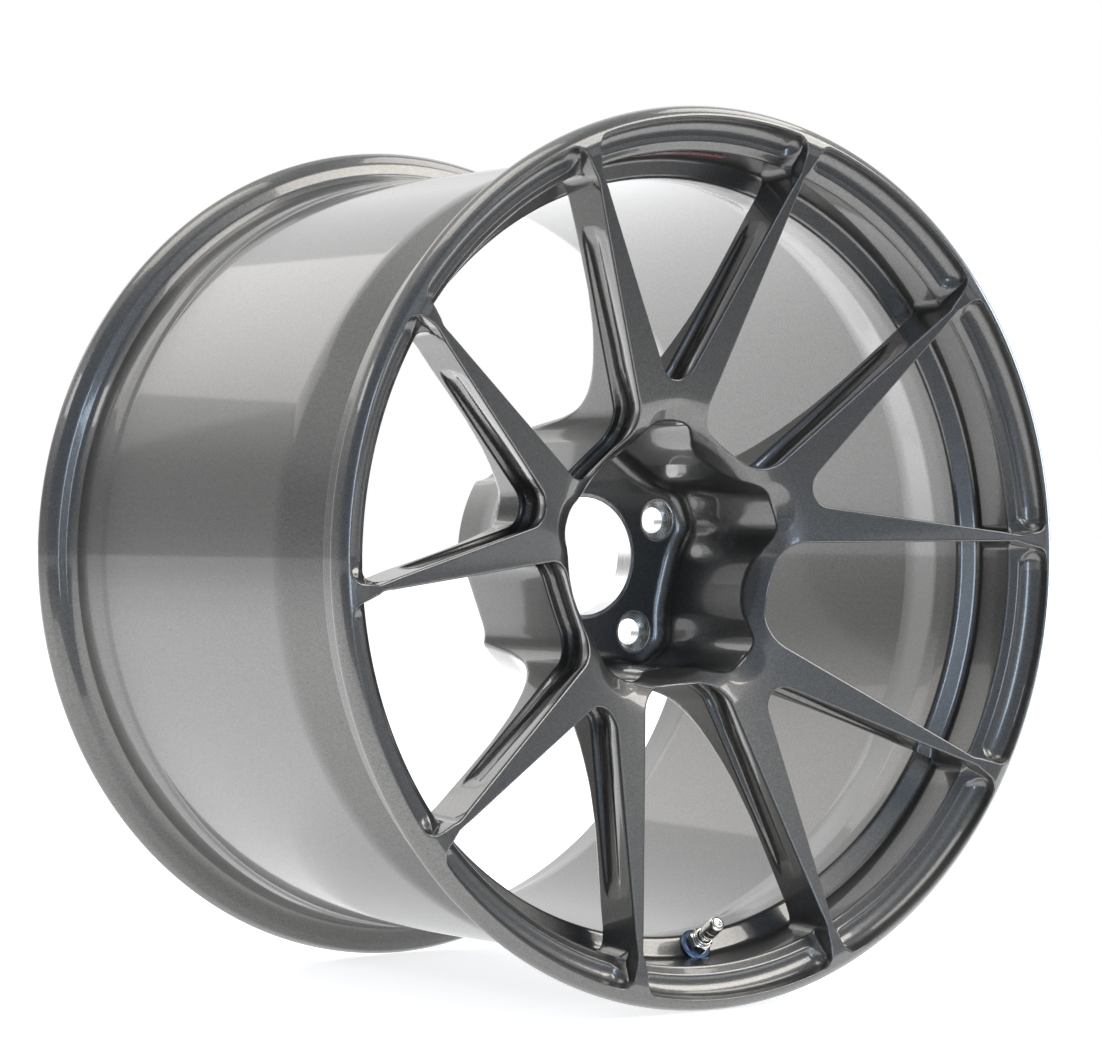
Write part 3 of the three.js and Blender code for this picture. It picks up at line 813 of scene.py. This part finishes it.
def label_mesh():
    """Thin film, rounded at its corners, that follows the leaning wall."""
    rows = np.concatenate([[0, 0.02, 0.05, 0.1, 0.17], np.linspace(0.26, 0.74, 7),
                           [0.83, 0.9, 0.95, 0.98, 1]])
    v = 2 * rows - 1
    corner = np.clip((np.abs(v) - 0.66) / 0.34, 0, 1)
    half = LABEL_HALF * (1 - 0.07 * (1 - np.sqrt(1 - corner ** 2)))
    u = np.linspace(-1, 1, 61)
    a = LABEL_ANGLE + half[:, None] * u[None, :]
    s = np.repeat((LABEL_FROM + (LABEL_TO - LABEL_FROM) * rows)[:, None], len(u), 1)
    sides = []
    for lift in (0.22, 0.08):
        r = wall_radius(s) - lift
        sides.append(np.stack([r * np.cos(a), s - HALF_WIDTH, r * np.sin(a)], -1))
    n, m = a.shape
    pts = np.concatenate([side.reshape(-1, 3) for side in sides])
    grid = np.arange(n * m).reshape(n, m)
    top = np.stack([grid[:-1, :-1], grid[1:, :-1], grid[1:, 1:], grid[:-1, 1:]], -1).reshape(-1, 4)
    rim = np.concatenate([grid[0, :-1], grid[:-1, -1], grid[-1, :0:-1], grid[:0:-1, 0]])
    after = np.roll(rim, -1)
    edge = np.stack([rim, after, after + n * m, rim + n * m], -1)
    me = new_mesh("window_wall_label", pts * MM,
                  np.concatenate([top, top[:, ::-1] + n * m, edge]))
    smooth(me, 40)
    return me


label = link("window_wall_label_piece", label_mesh(), "root",
             ["window_wall_label"])


# ---- finishes ----

def material(name):
    mat = bpy.data.materials.new(name)
    mat.use_nodes = True
    tree = mat.node_tree
    bsdf = tree.nodes["Principled BSDF"]
    return mat, tree, bsdf


def node(tree, kind, **values):
    """New node; each value sets its socket of that name, or its property."""
    n = tree.nodes.new(kind)
    for k, v in values.items():
        if k in n.inputs:
            n.inputs[k].default_value = v
        else:
            setattr(n, k, v)
    return n


def ramp(tree, source, stops):
    """Colour ramp from source; a stop's value is a colour or one level of grey."""
    n = tree.nodes.new("ShaderNodeValToRGB")
    el = n.color_ramp.elements
    while len(el) < len(stops):
        el.new(0.5)
    for e, (pos, value) in zip(el, stops):
        e.position = pos
        e.color = value if isinstance(value, tuple) else (value, value, value, 1)
    tree.links.new(source, n.inputs["Fac"])
    return n.outputs["Color"]


def paint(name):
    """Dark metallic paint: flakes under clear coat, with a faint orange peel."""
    mat, tree, bsdf = material(name)
    at = tree.nodes.new("ShaderNodeTexCoord").outputs["Object"]
    flakes = node(tree, "ShaderNodeTexVoronoi", Scale=4600.0)
    tree.links.new(at, flakes.inputs["Vector"])
    sep = tree.nodes.new("ShaderNodeSeparateColor")
    tree.links.new(flakes.outputs["Color"], sep.inputs["Color"])
    clusters = node(tree, "ShaderNodeTexVoronoi", Scale=1500.0)
    tree.links.new(at, clusters.inputs["Vector"])
    spread = tree.nodes.new("ShaderNodeSeparateColor")
    tree.links.new(clusters.outputs["Color"], spread.inputs["Color"])
    blended = node(tree, "ShaderNodeMath", operation="MULTIPLY_ADD")
    blended.inputs[1].default_value = 0.5
    tree.links.new(sep.outputs["Red"], blended.inputs[0])
    half = node(tree, "ShaderNodeMath", operation="MULTIPLY")
    half.inputs[1].default_value = 0.5
    tree.links.new(spread.outputs["Red"], half.inputs[0])
    tree.links.new(half.outputs[0], blended.inputs[2])
    tree.links.new(ramp(tree, blended.outputs[0], [
        (0.1, (0.086, 0.085, 0.082, 1)), (0.5, (0.112, 0.110, 0.106, 1)),
        (0.9, (0.152, 0.149, 0.143, 1))]), bsdf.inputs["Base Color"])
    tree.links.new(ramp(tree, sep.outputs["Green"], [(0.0, 0.32), (1.0, 0.40)]),
                   bsdf.inputs["Roughness"])
    bsdf.inputs["Metallic"].default_value = 0.85
    bsdf.inputs["Coat Weight"].default_value = 1.0
    bsdf.inputs["Coat Roughness"].default_value = 0.055
    bsdf.inputs["Coat IOR"].default_value = 1.5
    tilt = node(tree, "ShaderNodeBump", Strength=0.05, Distance=0.0002)
    tree.links.new(sep.outputs["Blue"], tilt.inputs["Height"])
    tree.links.new(tilt.outputs["Normal"], bsdf.inputs["Normal"])
    peel = node(tree, "ShaderNodeTexNoise", Scale=420.0, Detail=2.0)
    tree.links.new(at, peel.inputs["Vector"])
    skin = node(tree, "ShaderNodeBump", Strength=0.035, Distance=0.0003)
    tree.links.new(peel.outputs["Fac"], skin.inputs["Height"])
    tree.links.new(skin.outputs["Normal"], bsdf.inputs["Coat Normal"])
    return mat


def machined(name, color, roughness, scale=900.0):
    """Turned bare metal, with fine tool marks round the axis."""
    mat, tree, bsdf = material(name)
    at = tree.nodes.new("ShaderNodeTexCoord").outputs["Object"]
    lines = node(tree, "ShaderNodeTexNoise", Scale=scale, Detail=4.0)
    squash = node(tree, "ShaderNodeMapping")
    squash.inputs["Scale"].default_value = (0.15, 3.0, 0.15)
    tree.links.new(at, squash.inputs["Vector"])
    tree.links.new(squash.outputs["Vector"], lines.inputs["Vector"])
    dark = tuple(c * 0.82 for c in color) + (1,)
    tree.links.new(ramp(tree, lines.outputs["Fac"], [(0.3, dark), (0.7, tuple(color) + (1,))]),
                   bsdf.inputs["Base Color"])
    tree.links.new(ramp(tree, lines.outputs["Fac"], [(0.3, roughness * 0.8),
                                                     (0.7, roughness * 1.3)]),
                   bsdf.inputs["Roughness"])
    bsdf.inputs["Metallic"].default_value = 1.0
    marks = node(tree, "ShaderNodeBump", Strength=0.12, Distance=0.0001)
    tree.links.new(lines.outputs["Fac"], marks.inputs["Height"])
    tree.links.new(marks.outputs["Normal"], bsdf.inputs["Normal"])
    return mat


def rubber(name):
    """Matt moulded rubber with a fine grain."""
    mat, tree, bsdf = material(name)
    at = tree.nodes.new("ShaderNodeTexCoord").outputs["Object"]
    grain = node(tree, "ShaderNodeTexNoise", Scale=2600.0, Detail=5.0)
    tree.links.new(at, grain.inputs["Vector"])
    tree.links.new(ramp(tree, grain.outputs["Fac"], [
        (0.3, (0.012, 0.012, 0.013, 1)), (0.7, (0.030, 0.030, 0.031, 1))]),
        bsdf.inputs["Base Color"])
    tree.links.new(ramp(tree, grain.outputs["Fac"], [(0.3, 0.55), (0.7, 0.8)]),
                   bsdf.inputs["Roughness"])
    marks = node(tree, "ShaderNodeBump", Strength=0.25, Distance=0.0001)
    tree.links.new(grain.outputs["Fac"], marks.inputs["Height"])
    tree.links.new(marks.outputs["Normal"], bsdf.inputs["Normal"])
    return mat


def film(name):
    """Glossy printed film: plain bands along the wall and no lettering."""
    mat, tree, bsdf = material(name)
    at = tree.nodes.new("ShaderNodeTexCoord").outputs["Object"]
    way = node(tree, "ShaderNodeSeparateXYZ")
    tree.links.new(at, way.inputs["Vector"])
    across = node(tree, "ShaderNodeMath", operation="MULTIPLY_ADD")
    across.inputs[1].default_value = 1 / (LABEL_TO - LABEL_FROM) / MM
    across.inputs[2].default_value = (HALF_WIDTH - LABEL_FROM) / (LABEL_TO - LABEL_FROM)
    tree.links.new(way.outputs["Y"], across.inputs[0])
    black, red = (0.012, 0.012, 0.014, 1), (0.20, 0.012, 0.025, 1)
    pale = (0.62, 0.60, 0.60, 1)
    bands = ramp(tree, across.outputs[0], [
        (0.0, black), (0.12, red), (0.40, pale), (0.46, black), (0.56, pale), (0.60, red),
        (0.88, black)])
    bands.node.color_ramp.interpolation = "CONSTANT"
    tree.links.new(bands, bsdf.inputs["Base Color"])
    wear = node(tree, "ShaderNodeTexNoise", Scale=700.0, Detail=4.0)
    tree.links.new(at, wear.inputs["Vector"])
    tree.links.new(ramp(tree, wear.outputs["Fac"], [(0.35, 0.16), (0.7, 0.32)]),
                   bsdf.inputs["Roughness"])
    bsdf.inputs["Coat Weight"].default_value = 0.6
    return mat


def coat(ob, mat):
    ob.data.materials.clear()
    ob.data.materials.append(mat)


gunmetal = paint("gunmetal_paint")
bare = machined("machined_aluminium", (0.80, 0.80, 0.79), 0.24)
nickel = machined("nickel_plate", (0.74, 0.71, 0.66), 0.16, 1400.0)
brass = machined("brass", (0.72, 0.52, 0.24), 0.28)
zinc = machined("zinc_plated_steel", (0.13, 0.18, 0.27), 0.38, 1400.0)
steel = machined("steel", (0.55, 0.56, 0.57), 0.26)
black_rubber = rubber("black_rubber")
for mat, coated in ((gunmetal, (forging, barrel)), (bare, (bore, *seats)),
                    (nickel, (stem, nut, cap)), (zinc, (washer,)), (steel, (spring,)),
                    (brass, (core, pin)), (black_rubber, (tyre_seal, cap_seal)),
                    (film("label_film"), (label,))):
    for ob in coated:
        coat(ob, mat)


# ---- floor, light and camera ----

def studio_surface(name, corners, color, roughness=0.9):
    me = new_mesh(name, corners, [[0, 1, 2, 3]])
    ob = bpy.data.objects.new(name, me)
    bpy.context.scene.collection.objects.link(ob)
    mat, tree, bsdf = material(name)
    bsdf.inputs["Base Color"].default_value = (*color, 1)
    bsdf.inputs["Roughness"].default_value = roughness
    coat(ob, mat)
    return ob


FLOOR, FLOOR_REACH = -0.2485, 30
floor = studio_surface("floor", [
    (-FLOOR_REACH, -FLOOR_REACH, FLOOR), (FLOOR_REACH, -FLOOR_REACH, FLOOR),
    (FLOOR_REACH, FLOOR_REACH, FLOOR), (-FLOOR_REACH, FLOOR_REACH, FLOOR)], (0.93, 0.93, 0.93))
floor_finish = floor.data.materials[0].node_tree.nodes["Principled BSDF"]
floor_finish.inputs["Emission Color"].default_value = (1, 1, 1, 1)
floor_finish.inputs["Emission Strength"].default_value = 0.72

# dark board on the floor in front, which only reflections see
BOARD = FLOOR + 0.004
board = studio_surface("dark_board", [(-4, -6, BOARD), (4, -6, BOARD), (4, -0.62, BOARD),
                                      (-4, -0.62, BOARD)], (0.10, 0.105, 0.12))
board.visible_camera = False
board.visible_shadow = False


def studio_world():
    """White backdrop. The object is lit by less: bright above and behind, and dim in front."""
    world = bpy.data.worlds.new("studio")
    world.use_nodes = True
    tree = world.node_tree
    seen = tree.nodes["Background"]
    seen.inputs["Color"].default_value = (1, 1, 1, 1)
    seen.inputs["Strength"].default_value = 1.0
    lit = tree.nodes.new("ShaderNodeBackground")
    way = node(tree, "ShaderNodeSeparateXYZ")
    tree.links.new(tree.nodes.new("ShaderNodeTexCoord").outputs["Generated"],
                   way.inputs["Vector"])

    def zone(axis, stops):
        half = node(tree, "ShaderNodeMath", operation="MULTIPLY_ADD")
        half.inputs[1].default_value = half.inputs[2].default_value = 0.5
        tree.links.new(way.outputs[axis], half.inputs[0])
        return ramp(tree, half.outputs[0], stops)

    level = zone("Y", [(0.0, (0.24, 0.29, 0.37, 1)), (0.42, (0.22, 0.26, 0.32, 1)),
                       (0.62, (0.42, 0.43, 0.45, 1)), (1.0, (0.48, 0.48, 0.48, 1))])
    high = zone("Z", [(0.62, 0.0), (0.68, 0.35)])
    behind = zone("Y", [(0.40, 0.15), (0.66, 1.0)])
    above = node(tree, "ShaderNodeVectorMath", operation="MULTIPLY")
    tree.links.new(high, above.inputs[0])
    tree.links.new(behind, above.inputs[1])
    total = node(tree, "ShaderNodeVectorMath", operation="ADD")
    tree.links.new(level, total.inputs[0])
    tree.links.new(above.outputs[0], total.inputs[1])
    tree.links.new(total.outputs[0], lit.inputs["Color"])
    lit.inputs["Strength"].default_value = 1.0
    mix = tree.nodes.new("ShaderNodeMixShader")
    tree.links.new(tree.nodes.new("ShaderNodeLightPath").outputs["Is Camera Ray"],
                   mix.inputs["Fac"])
    tree.links.new(lit.outputs[0], mix.inputs[1])
    tree.links.new(seen.outputs[0], mix.inputs[2])
    tree.links.new(mix.outputs[0], tree.nodes["World Output"].inputs["Surface"])
    bpy.context.scene.world = world


studio_world()
bpy.context.scene.view_settings.view_transform = "Standard"


def softbox(name, at, to, size, watts, color=(1, 1, 1)):
    """Rectangular light at a place, facing another."""
    data = bpy.data.lights.new(name, "AREA")
    data.shape = "RECTANGLE"
    data.size, data.size_y = size
    data.energy = watts
    data.color = color
    ob = bpy.data.objects.new(name, data)
    ob.location = at
    ob.rotation_euler = (Vector(to) - Vector(at)).to_track_quat("-Z", "Y").to_euler()
    ob.visible_camera = False
    bpy.context.scene.collection.objects.link(ob)
    return ob


softbox("overhead", (-0.5, -0.1, 2.6), (0, 0, 0), (2.2, 1.4), 32, (1.0, 0.97, 0.92))
softbox("above_right", (1.6, -0.2, 2.2), (0, 0, -0.1), (1.0, 1.0), 14, (1.0, 0.97, 0.93))
softbox("behind", (0.9, 1.3, 0.76), (0.9, 0, 0.76), (3.4, 2.0), 9)
softbox("behind_left", (-1.1, 2.4, 1.75), (0, 0, 0.1), (2.8, 1.1), 9, (1.0, 0.98, 0.95))
softbox("left", (-3.0, 0.2, 2.0), (0, 0, 0.1), (1.2, 0.6), 12)
softbox("right", (2.6, 0.2, 0.3), (0, 0, 0), (0.8, 1.2), 20, (0.66, 0.80, 1.0))
softbox("front", (-0.3, -3.0, 0.15), (0, 0, 0), (0.5, 1.5), 20, (0.66, 0.80, 1.0))
softbox("front_right", (1.9, -2.0, 1.8), (0, 0, 0), (2.0, 1.3), 55, (1.0, 0.96, 0.90))

# the photo's camera, solved from its flanges and lug holes
CAMERA_AT, CAMERA_LOOK = (-1.2362, -1.7346, 0.0223), (0.5810, 0.8139, -0.0011)
camera = bpy.data.cameras.new("camera")
camera.sensor_width = 36.0
camera.lens = 118.92
camera.clip_end = 100
camera_ob = bpy.data.objects.new("camera", camera)
look = Vector(CAMERA_LOOK).normalized()
right = look.cross(Vector((0, 0, 1))).normalized()
up = right.cross(look)
camera_ob.matrix_world = Matrix.Translation(CAMERA_AT) @ Matrix(
    (right, up, -look)).transposed().to_4x4()
bpy.context.scene.collection.objects.link(camera_ob)
bpy.context.scene.camera = camera_ob
